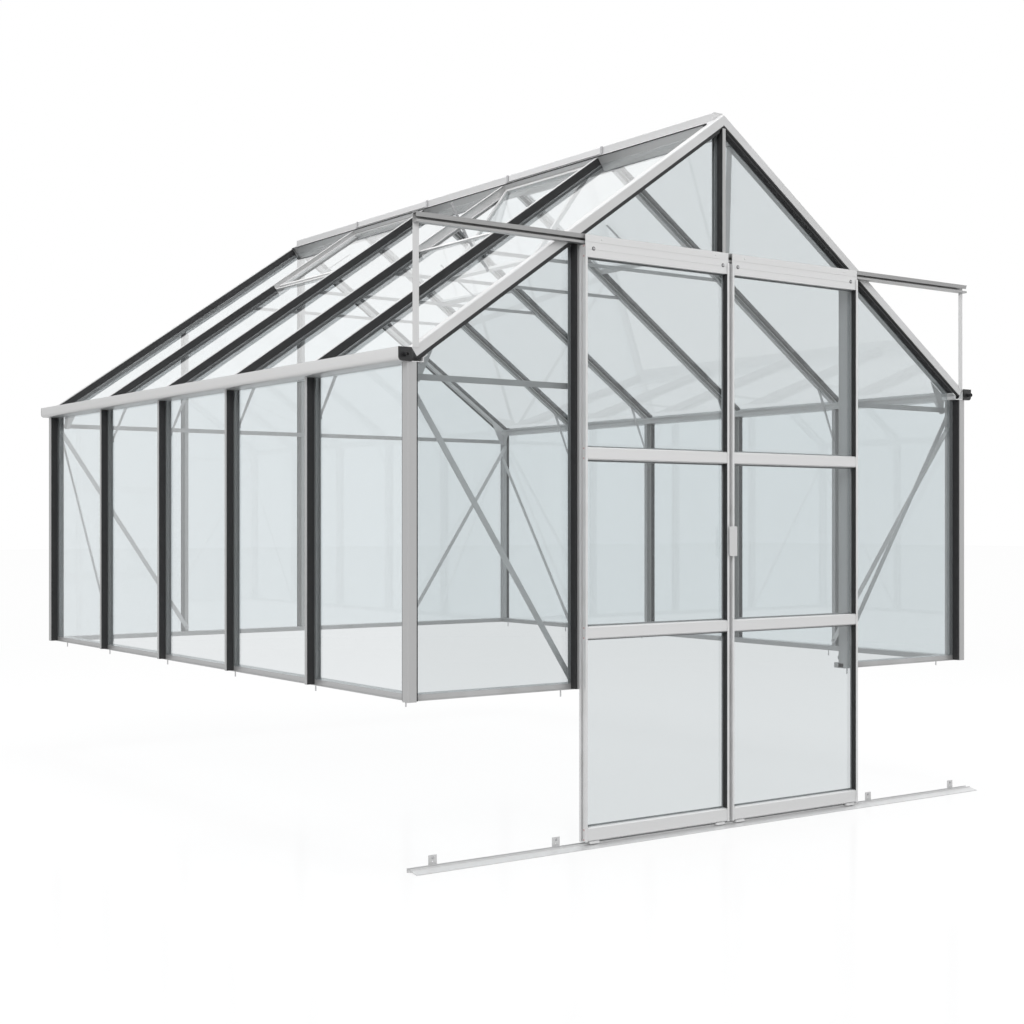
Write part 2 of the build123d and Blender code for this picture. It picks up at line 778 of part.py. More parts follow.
with BuildPart() as roof_strips:
    with BuildSketch(apex_plane) as under_rafter:
        block(-sill_setback - strip_width, -sill_setback, 0, strip_depth)
    extrude(under_rafter.sketch, amount=roof_run)
    split(bisect_by=Plane.YZ, keep=Keep.TOP)
    with BuildSketch(seat_plane.offset(fitting_gap)) as beside_rafter:
        block(0, strip_depth, -sill_setback - strip_width, -sill_setback)
    extrude(beside_rafter.sketch, amount=roof_run - ridge_seat - fitting_gap)
    mirror(about=middle)
    for number, y in enumerate(bar_places):
        closed_side = -1 if number % 2 == 0 else 1
        head_plane = roof_plane(y, ridge_seat + fitting_gap)
        low_plane = roof_plane(y, slam_end)
        extrude(strip_sketch(head_plane, (closed_side,)), amount=roof_run - ridge_seat - fitting_gap)
        extrude(strip_sketch(low_plane, (-closed_side,)), amount=roof_run - slam_end)
    mirror(about=Plane.YZ)
write(roof_strips, "roof_strips")

# Roof vents: three closed, and the front one on the left slope hanging open
hinge_rise = fitting_gap + vent_height / 2
hinge_x, hinge_z = slope_point(vent_start, hinge_rise)
vent_width = wall_pitch - 2 * vent_side_gap
vent_places = [(side, bay) for side in (-1, 1) for bay in vent_bays]
open_vent = (-1, vent_bays[0])


def vent_centre(bay):
    """The middle of a bay along the house."""
    return front_face + wall_pitch * (bay + 1 / 2)


def vent_plane(side, bay):
    """The middle plane of a vent, through its hinge."""
    lean = slope + (radians(vent_open_angle) if (side, bay) == open_vent else 0)
    return Plane(
        origin=(side * hinge_x, vent_centre(bay), hinge_z),
        x_dir=(0, 1, 0),
        z_dir=(side * sin(lean), 0, cos(lean)),
    )


with BuildPart() as vent_frames:
    for side, bay in vent_places:
        half = vent_width / 2
        with BuildSketch(vent_plane(side, bay)):
            block(-half, half, 0, -side * vent_length)
            block(
                vent_frame - half,
                half - vent_frame,
                -side * vent_frame,
                side * (vent_frame - vent_length),
                Mode.SUBTRACT,
            )
        extrude(amount=vent_height / 2, both=True)
        with BuildSketch(cross_plane(vent_centre(bay) + half)):
            with Locations((side * hinge_x, hinge_z)):
                Circle(vent_hinge - fitting_gap)
        extrude(amount=vent_width)
write(vent_frames, "vent_frames")

with BuildPart() as vent_glass:
    for side, bay in vent_places:
        half = vent_width / 2 - vent_frame
        with BuildSketch(vent_plane(side, bay)):
            block(-half, half, -side * vent_frame, side * (vent_frame - vent_length))
        extrude(amount=glass_thickness / 2, both=True)
write(vent_glass, "vent_glass")

with BuildPart() as slam_bars:
    with BuildSketch(roof_face):
        for bay in vent_bays:
            near = bar_places[bay - 1] + web_half
            far = bar_places[bay] - web_half
            block(near, far, -slam_start, -slam_end)
    extrude(amount=slam_height)
    mirror(about=Plane.YZ)
write(slam_bars, "slam_bars")

lean_open = slope + radians(vent_open_angle)
down_open = Vector(cos(lean_open), -sin(lean_open))
out_open = Vector(sin(lean_open), cos(lean_open))
member_face = Vector(hinge_x, hinge_z) + down_open * (vent_length - vent_frame / 2)
member_face += out_open * (vent_height / 2)
stay_half = stay_width / 2
bend = Vector(*slope_point(slam_start - stay_width, slam_height / 2))
tail_tip = bend + Vector(cos(radians(stay_angle)), sin(radians(stay_angle))) * stay_tail
tail_side = Vector(sin(radians(stay_angle)), -cos(radians(stay_angle))) * stay_half
bend_side = out_open.rotate(Axis.Z, -90) * stay_half

with BuildPart() as vent_stays:
    for side, bay in vent_places:
        if (side, bay) == open_vent:
            continue
        stay_face = Plane(
            origin=(side * apex_x, vent_centre(bay), apex_z),
            x_dir=(0, 1, 0),
            z_dir=(side * sin(slope), 0, cos(slope)),
        )
        with BuildSketch(stay_face):
            block(-stay_half, stay_half, side * (stay_length - slam_end), -side * slam_end)
        extrude(amount=-strap_thickness)
    bent = [
        member_face - down_open * stay_half,
        bend - bend_side,
        tail_tip - tail_side,
        tail_tip + tail_side,
        bend + bend_side,
        member_face + down_open * stay_half,
    ]
    with BuildSketch(cross_plane(vent_centre(open_vent[1]) + strap_thickness / 2)):
        outline(*[(-point.X, point.Y) for point in bent])
    extrude(amount=strap_thickness)
write(vent_stays, "vent_stays")

# Door track with its end stays
track_back = front_face - bar_fin
track_half = half_width + track_overhang


def lengthwise(x):
    """The section plane of a piece that runs along the gable: X forward, Y up."""
    return Plane(origin=(x, 0, 0), x_dir=(0, -1, 0), z_dir=(-1, 0, 0))


with BuildPart() as door_track:
    with BuildSketch(lengthwise(track_half)):
        back = -track_back
        front = back + track_depth
        brow_foot = track_top - track_brow
        block(back, back + bar_wall, track_bottom, track_top)
        block(back, front, track_bottom, track_bottom + bar_wall)
        block(front - bar_wall, front, track_bottom, track_bottom + track_lip)
        block(back, front, track_top - bar_wall, track_top)
        outline(
            (front, track_top),
            (front - track_lean, brow_foot),
            (front - track_lean - bar_wall, brow_foot),
            (front - bar_wall, track_top),
        )
    extrude(amount=2 * track_half)
write(door_track, "door_track")

with BuildPart() as track_stays:
    with BuildSketch(cross_plane(track_back)):
        block(track_half - stay_plate, track_half, gutter_top + fitting_gap, track_bottom)
    extrude(amount=bar_wall)
    mirror(about=Plane.YZ)
write(track_stays, "track_stays")

# Planes of the doors, forward from the gable glass
back_y = leaf_back - front_face
cover_back = front + door_clearance
cover_front = cover_back + hanger_thickness
front_y = cover_front + lip_gap + bar_wall
leaf_top = track_bottom - leaf_clearance
leaf_inner = door_clearance / 2 + seal_reach
leaf_outer = jamb_face + leaf_lap

# Bottom rail: a bed behind, a rib that guides the doors and a thin ramp in front
rail_back = bottom_rail_back - front_face
rail_front = rail_back + bottom_rail_depth
rail_top = leaf_bottom - leaf_clearance
rail_bottom = rail_top - bottom_rail_rise
rib_middle = (back_y + front_y) / 2
rib_back = rib_middle - bottom_rail_wall / 2
rib_front = rib_middle + bottom_rail_wall / 2
bed_top = rail_bottom + bed_rise
ramp_top = rail_bottom + ramp_rise
rail_half = half_width + bottom_rail_overhang

with BuildPart() as bottom_rail:
    with BuildSketch(lengthwise(rail_half)):
        block(rail_back, rail_back + bottom_rail_wall, rail_bottom, rail_top)
        block(rail_back, rib_back, bed_top - bottom_rail_wall, bed_top)
        block(rib_back, rib_front, bed_top - bottom_rail_wall, rail_top)
        outline(
            (rib_front, ramp_top),
            (rail_front, rail_bottom + bottom_rail_wall),
            (rail_front, rail_bottom),
            (rib_front, ramp_top - bottom_rail_wall),
        )
    extrude(amount=2 * rail_half)
write(bottom_rail, "bottom_rail")

with BuildPart() as rail_tabs:
    tab_top = rail_top + tab_rise
    with BuildSketch(cross_plane(tab_thickness - rail_back)):
        for x in (jamb_face + inner_tab_gap, half_width - outer_tab_inset):
            block(x - tab_width / 2, x + tab_width / 2, rail_bottom, tab_top)
            with Locations((x, tab_top - tab_edge), (x, tab_top - tab_edge - tab_hole_pitch)):
                Circle(tab_hole / 2, mode=Mode.SUBTRACT)
    extrude(amount=tab_thickness)
    mirror(about=Plane.YZ)
write(rail_tabs, "rail_tabs")

# Anchor bolts under the side and front sills
bolt_x = sill_x - sill_depth / 2
bolt_y = sill_front + sill_depth / 2
with BuildPart() as anchor_bolts:
    spots = [(bolt_x, y + bolt_offset) for y in bar_places]
    spots += [(bolt_x, bolt_y + sill_depth), (bolt_x, 2 * mid_length - bolt_y - sill_depth)]
    spots.append((jamb_outer + bolt_offset, bolt_y))
    with BuildSketch(Plane.XY):
        for spot in spots:
            with Locations(spot):
                RegularPolygon(bolt_diameter / 2, side_count=12)
    extrude(amount=-bolt_length)
    mirror(about=Plane.YZ)
write(anchor_bolts, "anchor_bolts")

# One door leaf, the right one; the left is its mirror image
glass_back = back_y + bar_wall
glass_front = glass_back + glass_thickness
box_back = glass_front + rail_seat
box_front = front_y - bar_wall
cover_top = track_top - bar_wall
cover_bottom = cover_top - hanger_height
half_transom = transom_height / 2
rails = [
    (leaf_bottom, leaf_bottom + door_rail_height, box_front),
    (lower_transom - half_transom, lower_transom + half_transom, box_front),
    (upper_transom - half_transom, upper_transom + half_transom, box_front),
    (cover_bottom, leaf_top, cover_back),
]
rail_lap = stile_back - stile_width
web_rise = bar_wall

with BuildPart() as right_door_frame:
    with BuildSketch(Plane(origin=(0, 0, leaf_bottom), x_dir=(1, 0, 0), z_dir=(0, 0, 1))):
        for edge, inward in ((leaf_inner, 1), (leaf_outer, -1)):
            seal = edge - inward * seal_reach
            block(edge, edge + inward * bar_wall, -back_y, -front_y)
            block(edge, edge + inward * stile_width, -front_y, bar_wall - front_y)
            block(seal, edge + inward * stile_back, -back_y, -glass_back)
            block(seal, seal + inward * bar_wall, -back_y, -back_y - seal_depth)
    extrude(amount=leaf_top - leaf_bottom)
    with BuildSketch(lengthwise(leaf_outer - web_half)):
        for low, high, face in rails:
            centre = (low + high) / 2
            outline(
                (box_back, low),
                (face - rail_bevel, low),
                (face, low + rail_bevel),
                (face, high - rail_bevel),
                (face - rail_bevel, high),
                (box_back, high),
            )
            hollow_back = box_back + bar_wall
            hollow_front = face - rail_bevel
            block(hollow_back, hollow_front, low + bar_wall, high - bar_wall, Mode.SUBTRACT)
            block(back_y, glass_back, max(low - rail_lap, leaf_bottom), min(high + rail_lap, leaf_top))
            block(glass_back - web_half, box_back + web_half, centre - web_rise, centre + web_rise)
    extrude(amount=leaf_outer - leaf_inner - bar_wall)
write(right_door_frame, "right_door_frame")

pane_side_gap = bar_wall + glass_edge
with BuildPart() as right_door_glass:
    with BuildSketch(Plane(origin=(0, -glass_back, 0), x_dir=(1, 0, 0), z_dir=(0, -1, 0))):
        for under, over in zip(rails, rails[1:]):
            foot = (under[0] + under[1]) / 2 + web_rise + glass_edge
            head = (over[0] + over[1]) / 2 - web_rise - glass_edge
            block(leaf_inner + pane_side_gap, leaf_outer - pane_side_gap, foot, head)
    extrude(amount=glass_thickness)
write(right_door_glass, "right_door_glass")

with BuildPart() as right_door_strips:
    with BuildSketch(Plane(origin=(0, -glass_front, 0), x_dir=(1, 0, 0), z_dir=(0, -1, 0))):
        for under, over in zip(rails, rails[1:]):
            for edge, inward in ((leaf_inner, 1), (leaf_outer, -1)):
                start = edge + inward * (stile_width - strip_width)
                block(start, edge + inward * stile_width, under[1], over[0])
    extrude(amount=box_front - glass_front)
write(right_door_strips, "right_door_strips")

# Hanger: a grooved cover plate over the track with two rollers that run inside it
roller_y = -track_back + track_depth / 2
roller_z = track_bottom + bar_wall + fitting_gap + roller_diameter / 2
plate_inset = bar_wall + fitting_gap

with BuildPart() as right_door_hanger:
    with BuildSketch(lengthwise(leaf_outer - plate_inset)):
        block(cover_back, cover_front, cover_bottom, cover_top)
        for step in (1, 2):
            level = cover_bottom + step * hanger_height / 3
            groove_foot = level - hanger_groove / 2
            groove_head = level + hanger_groove / 2
            block(cover_front - groove_depth, cover_front, groove_foot, groove_head, Mode.SUBTRACT)
    extrude(amount=leaf_outer - leaf_inner - 2 * plate_inset)
    with BuildSketch(cross_plane(-cover_back)):
        for x in (leaf_inner + roller_inset, leaf_outer - roller_inset):
            with Locations((x, roller_z)):
                Circle(axle_diameter / 2)
    extrude(amount=roller_y - roller_width / 2 - cover_back)
    with BuildSketch(cross_plane(roller_width / 2 - roller_y)):
        for x in (leaf_inner + roller_inset, leaf_outer - roller_inset):
            with Locations((x, roller_z)):
                Circle(roller_diameter / 2)
    extrude(amount=roller_width)
write(right_door_hanger, "right_door_hanger")

# Guides under a leaf, astride the rib of the bottom rail
slot_half = bottom_rail_wall / 2 + fitting_gap
with BuildPart() as right_door_guides:
    with BuildSketch(Plane.XY.offset(leaf_bottom)):
        for x in (leaf_inner + guide_width, leaf_outer - guide_width):
            left = x - guide_width / 2
            right = x + guide_width / 2
            block(left, right, -rib_middle - guide_half, guide_half - rib_middle)
            block(left, right, -rib_middle - slot_half, slot_half - rib_middle, Mode.SUBTRACT)
    extrude(amount=-guide_drop)
write(right_door_guides, "right_door_guides")

# Handle: a flat plate that stands off the right leaf on two lugs
handle_half = leaf_inner + stile_width + handle_margin
lug_level = handle_height / 2 - lug_inset - lug_height / 2
with BuildPart() as door_handle:
    with BuildSketch(Plane(origin=(0, -front_y, handle_level), x_dir=(1, 0, 0), z_dir=(0, -1, 0))):
        lug_x = leaf_inner + stile_width / 2
        with Locations((lug_x, lug_level), (lug_x, -lug_level)):
            Rectangle(stile_width, lug_height)
    extrude(amount=handle_reach)
    plate_face = Plane(
        origin=(0, -front_y - handle_reach, handle_level), x_dir=(1, 0, 0), z_dir=(0, -1, 0)
    )
    with BuildSketch(plate_face):
        RectangleRounded(2 * handle_half, handle_height, handle_round)
    extrude(amount=handle_plate)
write(door_handle, "door_handle")

for right_piece, left_name in (
    (right_door_frame, "left_door_frame"),
    (right_door_glass, "left_door_glass"),
    (right_door_strips, "left_door_strips"),
    (right_door_hanger, "left_door_hanger"),
    (right_door_guides, "left_door_guides"),
):
    with BuildPart() as left_piece:
        add(mirror(right_piece.part, about=Plane.YZ, mode=Mode.PRIVATE))
    write(left_piece, left_name)
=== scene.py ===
import bpy
import bmesh
import math
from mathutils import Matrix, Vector


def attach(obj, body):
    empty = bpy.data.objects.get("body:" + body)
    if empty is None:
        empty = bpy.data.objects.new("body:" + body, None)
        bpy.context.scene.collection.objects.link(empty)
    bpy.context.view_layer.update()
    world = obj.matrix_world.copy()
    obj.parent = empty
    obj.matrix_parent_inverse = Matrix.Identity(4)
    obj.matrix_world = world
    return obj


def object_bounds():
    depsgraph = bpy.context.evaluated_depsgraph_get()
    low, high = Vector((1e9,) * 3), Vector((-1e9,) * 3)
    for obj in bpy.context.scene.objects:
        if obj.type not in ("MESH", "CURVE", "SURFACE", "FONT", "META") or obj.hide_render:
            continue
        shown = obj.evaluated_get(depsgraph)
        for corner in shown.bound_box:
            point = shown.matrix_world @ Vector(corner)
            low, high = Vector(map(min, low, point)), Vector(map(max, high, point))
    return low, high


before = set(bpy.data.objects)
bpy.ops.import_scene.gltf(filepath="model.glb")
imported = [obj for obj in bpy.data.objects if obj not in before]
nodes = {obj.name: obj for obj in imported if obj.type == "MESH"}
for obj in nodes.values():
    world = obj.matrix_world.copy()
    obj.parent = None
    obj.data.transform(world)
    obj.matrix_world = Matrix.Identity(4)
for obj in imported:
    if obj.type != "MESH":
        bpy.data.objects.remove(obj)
cadLow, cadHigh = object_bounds()
print("greenhouse frame loaded:", len(nodes), "pieces")


# Shader helpers
def newMaterial(name):
    material = bpy.data.materials.new(name)
    material.use_nodes = True
    tree = material.node_tree
    return material, tree, tree.nodes["Principled BSDF"]


def addNode(tree, kind, **values):
    node = tree.nodes.new(kind)
    for key, value in values.items():
        setattr(node, key, value)
    return node


def stretchedNoise(tree, turn, stretch, size, detail):
    place = addNode(tree, "ShaderNodeTexCoord")
    mapping = addNode(tree, "ShaderNodeMapping")
    mapping.inputs["Rotation"].default_value = turn
    mapping.inputs["Scale"].default_value = stretch
    noise = addNode(tree, "ShaderNodeTexNoise")
    noise.inputs["Scale"].default_value = size
    noise.inputs["Detail"].default_value = detail
    tree.links.new(place.outputs["Object"], mapping.inputs["Vector"])
    tree.links.new(mapping.outputs["Vector"], noise.inputs["Vector"])
    return noise


def rampOf(tree, source, low, high, start=0.3, stop=0.7):
    ramp = addNode(tree, "ShaderNodeValToRGB")
    ramp.color_ramp.elements[0].position = start
    ramp.color_ramp.elements[0].color = (*low, 1)
    ramp.color_ramp.elements[1].position = stop
    ramp.color_ramp.elements[1].color = (*high, 1)
    tree.links.new(source, ramp.inputs["Fac"])
    return ramp


def rangeOf(tree, source, low, high):
    scaled = addNode(tree, "ShaderNodeMapRange")
    scaled.inputs["To Min"].default_value = low
    scaled.inputs["To Max"].default_value = high
    tree.links.new(source, scaled.inputs["Value"])
    return scaled


def bumpOf(tree, surface, source, strength, distance):
    bump = addNode(tree, "ShaderNodeBump")
    bump.inputs["Strength"].default_value = strength
    bump.inputs["Distance"].default_value = distance
    tree.links.new(source, bump.inputs["Height"])
    tree.links.new(bump.outputs["Normal"], surface.inputs["Normal"])


def anyRay(tree, kinds):
    rays = addNode(tree, "ShaderNodeLightPath")
    total = rays.outputs[kinds[0]]
    for kind in kinds[1:]:
        either = addNode(tree, "ShaderNodeMath", operation="MAXIMUM")
        tree.links.new(total, either.inputs[0])
        tree.links.new(rays.outputs[kind], either.inputs[1])
        total = either.outputs["Value"]
    return total


def makeMatt(name, look):
    material, tree, surface = newMaterial(name)
    grain = stretchedNoise(tree, (0, 0, 0), (1, 1, 1), look["grain"], 2)
    tone = rampOf(tree, grain.outputs["Fac"], look["dark"], look["light"])
    tree.links.new(tone.outputs["Color"], surface.inputs["Base Color"])
    surface.inputs["Roughness"].default_value = look["rough"]
    if "bump" in look:
        bumpOf(tree, surface, grain.outputs["Fac"], look["bump"], look["bumpDepth"])
    return material


# Rays that see the floor and the surroundings as they are
sightRays = ("Is Camera Ray", "Is Glossy Ray", "Is Transmission Ray")
roofPitch = math.radians(35)

# Extruded aluminium, with faint die lines along each bar. Its tone levels are painted light and shade:
# the same metal takes a darker tone on posts, sills and track and lighter tones on bars, braces, rails
# and slopes, standing in for how much light those faces catch
aluminium = {
    "postPaintedShadeTone": 0.48,
    "barPaintedLightTone": 0.66,
    "railPaintedLightTone": 0.74,
    "slopePaintedLightTone": 0.62,
    "trackPaintedShadeTone": 0.42,
    "spread": 0.035,
    "metallic": 0.38,
    "smooth": 0.3,
    "rough": 0.42,
    "dieLines": 260.0,
    "cloudSize": 9.0,
    "bump": 0.12,
    "bumpDepth": 0.0004,
}
alongX = (0.01, 1, 1)
alongY = (1, 0.01, 1)
alongZ = (1, 1, 0.01)


def greyAround(level):
    spread = aluminium["spread"]
    return [(level + step, level + step, level + step * 1.1) for step in (-spread, spread)]


def makeAluminium(name, level, stretch, turn=(0, 0, 0)):
    material, tree, surface = newMaterial(name)
    dark, light = greyAround(level)
    lines = stretchedNoise(tree, turn, stretch, aluminium["dieLines"], 2)
    cloud = stretchedNoise(tree, turn, stretch, aluminium["cloudSize"], 3)
    tone = rampOf(tree, cloud.outputs["Fac"], dark, light)
    rough = rangeOf(tree, lines.outputs["Fac"], aluminium["smooth"], aluminium["rough"])
    tree.links.new(tone.outputs["Color"], surface.inputs["Base Color"])
    tree.links.new(rough.outputs["Result"], surface.inputs["Roughness"])
    surface.inputs["Metallic"].default_value = aluminium["metallic"]
    bumpOf(tree, surface, lines.outputs["Fac"], aluminium["bump"], aluminium["bumpDepth"])
    return material


# Lit and shaded copies of one aluminium: the tone level each copy takes is painted light or painted shade
upright = makeAluminium("aluminiumUpright", aluminium["postPaintedShadeTone"], alongZ)
paintedLightUpright = makeAluminium("aluminiumPaintedLightUpright", aluminium["barPaintedLightTone"], alongZ)
crosswise = makeAluminium("aluminiumCrosswise", aluminium["barPaintedLightTone"], alongX)
railFace = makeAluminium("aluminiumRail", aluminium["railPaintedLightTone"], alongX)
trackFace = makeAluminium("aluminiumTrack", aluminium["trackPaintedShadeTone"], alongX)
lengthwise = makeAluminium("aluminiumLengthwise", aluminium["railPaintedLightTone"], alongY)
ridgeFace = makeAluminium("aluminiumRidge", aluminium["barPaintedLightTone"], alongY)
sillFace = makeAluminium("aluminiumSill", aluminium["postPaintedShadeTone"], alongY)
slopePaintedLightTone = aluminium["slopePaintedLightTone"]
rightSlope = makeAluminium("aluminiumRightSlope", slopePaintedLightTone, alongX, (0, roofPitch, 0))
leftSlope = makeAluminium("aluminiumLeftSlope", slopePaintedLightTone, alongX, (0, -roofPitch, 0))

# Black glazing strip
strip = {
    "dark": (0.024, 0.024, 0.025),
    "light": (0.036, 0.036, 0.037),
    "rough": 0.6,
    "grain": 900.0,
    "bump": 0.15,
    "bumpDepth": 0.0003,
}
rubber = makeMatt("glazingStrip", strip)

# Black moulded plastic
plastic = {
    "dark": (0.012, 0.012, 0.013),
    "light": (0.022, 0.022, 0.023),
    "rough": 0.38,
    "grain": 400.0,
    "bump": 0.1,
    "bumpDepth": 0.0003,
}
blackPlastic = makeMatt("blackPlastic", plastic)

# Zinc plated steel
zinc = {
    "dark": (0.45, 0.45, 0.46),
    "light": (0.62, 0.62, 0.63),
    "metallic": 0.9,
    "rough": 0.35,
    "spangle": 120.0,
}
steel, steelTree, steelSurface = newMaterial("zincPlatedSteel")
spangle = addNode(steelTree, "ShaderNodeTexVoronoi")
spangle.inputs["Scale"].default_value = zinc["spangle"]
steelTone = rampOf(steelTree, spangle.outputs["Distance"], zinc["dark"], zinc["light"])
steelTree.links.new(steelTone.outputs["Color"], steelSurface.inputs["Base Color"])
steelSurface.inputs["Metallic"].default_value = zinc["metallic"]
steelSurface.inputs["Roughness"].default_value = zinc["rough"]

# Clear toughened glass that lets lamp light through. The side, far and roof panes take paler copies of
# the front tint: painted light that makes them brighter than the same glass at the front
glass = {
    "frontTint": (0.690, 0.720, 0.730),
    "sidePaintedLightTint": (0.780, 0.805, 0.815),
    "farPaintedLightTint": (0.870, 0.915, 0.930),
    "roofPaintedLightTint": (0.905, 0.925, 0.932),
    "ior": 1.5,
    "roofIor": 1.38,
    "cloudSize": 1.3,
    "paler": 1.012,
    "shade": (0.86, 0.88, 0.885),
}


def makeGlass(name, tint, ior):
    material, tree, surface = newMaterial(name)
    cloud = stretchedNoise(tree, (0, 0, 0), (1, 1, 1), glass["cloudSize"], 2)
    paler = tuple(min(1.0, part * glass["paler"]) for part in tint)
    tone = rampOf(tree, cloud.outputs["Fac"], tint, paler)
    tree.links.new(tone.outputs["Color"], surface.inputs["Base Color"])
    surface.inputs["Transmission Weight"].default_value = 1.0
    surface.inputs["Roughness"].default_value = 0.0
    surface.inputs["IOR"].default_value = ior
    lampLight = anyRay(tree, ("Is Shadow Ray", "Is Diffuse Ray"))
    clear = addNode(tree, "ShaderNodeBsdfTransparent")
    clear.inputs["Color"].default_value = (*glass["shade"], 1)
    mix = addNode(tree, "ShaderNodeMixShader")
    tree.links.new(lampLight, mix.inputs["Fac"])
    tree.links.new(surface.outputs["BSDF"], mix.inputs[1])
    tree.links.new(clear.outputs["BSDF"], mix.inputs[2])
    tree.links.new(mix.outputs["Shader"], tree.nodes["Material Output"].inputs["Surface"])
    return material


# Four copies of one glass; the paler side, far and roof tints are painted light
frontGlass = makeGlass("frontGlass", glass["frontTint"], glass["ior"])
sideGlass = makeGlass("sideGlass", glass["sidePaintedLightTint"], glass["ior"])
farGlass = makeGlass("farGlass", glass["farPaintedLightTint"], glass["ior"])
roofGlass = makeGlass("roofGlass", glass["roofPaintedLightTint"], glass["roofIor"])
print("materials made")

# Which finish each piece of the frame takes
finishes = {
    frontGlass: ["front_gable_glass", "left_door_glass", "right_door_glass"],
    sideGlass: ["left_wall_glass"],
    farGlass: ["right_wall_glass", "rear_gable_glass"],
    roofGlass: ["left_roof_glass", "right_roof_glass", "vent_glass"],
    rubber: ["wall_strips", "gable_strips", "roof_strips", "left_door_strips", "right_door_strips"],
    steel: ["anchor_bolts", "vent_stays"],
    blackPlastic: ["gutter_caps"],
    upright: [
        "corner_posts", "right_wall_bars", "left_wall_bars", "rear_gable_bars", "front_gable_bar",
        "door_jambs", "front_sills", "rear_sill", "gable_ties", "collar_ties",
    ],
    paintedLightUpright: ["track_stays", "rail_tabs", "door_handle", "corner_gussets", "wall_braces"],
    crosswise: ["door_header", "gable_braces", "knee_braces", "bottom_rail"],
    railFace: [
        "left_door_frame", "right_door_frame", "left_door_hanger", "right_door_hanger",
        "left_door_guides", "right_door_guides",
    ],
    trackFace: ["door_track"],
    lengthwise: ["gutters", "vent_frames", "slam_bars"],
    ridgeFace: ["ridge_beam"],
    sillFace: ["side_sills"],
    rightSlope: ["right_roof_bars", "roof_brace"],
    leftSlope: ["left_roof_bars", "front_rafters", "rear_rafters"],
}
for finish, names in finishes.items():
    for name in names:
        slots = nodes[name].data.materials
        slots.clear()
        slots.append(finish)
undressed = [name for name in nodes if not any(name in names for names in finishes.values())]
print("finishes given, left over:", undressed)

# Red fibre under the screws of the leaves' flanks
fibre = {"dark": (0.50, 0.16, 0.14), "light": (0.66, 0.26, 0.22), "rough": 0.7, "grain": 700.0}
red = makeMatt("fibreWasher", fibre)


# Small fittings in mesh code, each closed
def finishPiece(work, name, finish, body):
    bmesh.ops.recalc_face_normals(work, faces=work.faces)
    mesh = bpy.data.meshes.new(name)
    work.to_mesh(mesh)
    work.free()
    mesh.materials.append(finish)
    piece = bpy.data.objects.new(name, mesh)
    bpy.context.scene.collection.objects.link(piece)
    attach(piece, body)
    return piece


def turnHead(work, place, out, profile, sides=14):
    turn = Vector((0, 0, 1)).rotation_difference(Vector(out)).to_matrix()
    rings = []
    for radius, height in profile:
        ring = []
        for step in range(sides):
            angle = 2 * math.pi * step / sides
            spot = Vector((radius * math.cos(angle), radius * math.sin(angle), height))
            ring.append(work.verts.new(turn @ spot + Vector(place)))
        rings.append(ring)
    for low, high in zip(rings, rings[1:]):
        for step in range(sides):
            after = (step + 1) % sides
            work.faces.new((low[step], low[after], high[after], high[step]))
    work.faces.new(rings[0])
    work.faces.new(rings[-1])


def pushOutline(work, corners, along, start, stop):
    ends = []
    for place in (start, stop):
        ring = []
        for first, second in corners:
            spot = [first, second]
            spot.insert(along, place)
            ring.append(work.verts.new(spot))
        ends.append(ring)
    count = len(corners)
    for step in range(count):
        after = (step + 1) % count
        work.faces.new((ends[0][step], ends[0][after], ends[1][after], ends[1][step]))
    work.faces.new(ends[0])
    work.faces.new(ends[1])


# Outlines of the heads, as shares of their radius and height
headShape = ((1, 0), (1, 0.35), (0.86, 0.78), (0.55, 1), (0.34, 1), (0.26, 0.45))
# This outline serves both the red flank washers and the black rings that paint in the plate screws'
# recess shade
washerAndShadeRingShape = ((1, 0), (1, 0.7), (0.92, 1))
domeShape = ((1, 0), (0.9, 0.5), (0.6, 0.87), (0.25, 1))


def profileOf(shape, radius, height):
    return [(radius * wide, height * high) for wide, high in shape]


# Screws and rivets of the cover plates and the leaves' flanks. The black rings under the plate screws are
# painted shade for the recess round each countersunk head
screws = {
    "plateFace": -3.203,
    "screwLevel": 1.465,
    "rivetLevel": 1.498,
    "screwPlaces": (0.036, 0.618),
    "rivetPlaces": (0.070, 0.583),
    "screwRadius": 0.0042,
    "screwHeight": 0.0022,
    "shadeRingRadius": 0.0066,
    "washerAndShadeRingHeight": 0.0007,
    "shadeRingSides": 20,
    "rivetRadius": 0.0036,
    "rivetHeight": 0.0015,
    "flankFace": 0.654,
    "flankDepth": -3.196,
    "flankLevels": (1.455, 0.785, 0.190, -0.4785),
    "flankSpread": 0.0165,
    "flankRadius": 0.0028,
    "flankHeight": 0.0012,
    "flankHeadShare": 0.6,
}
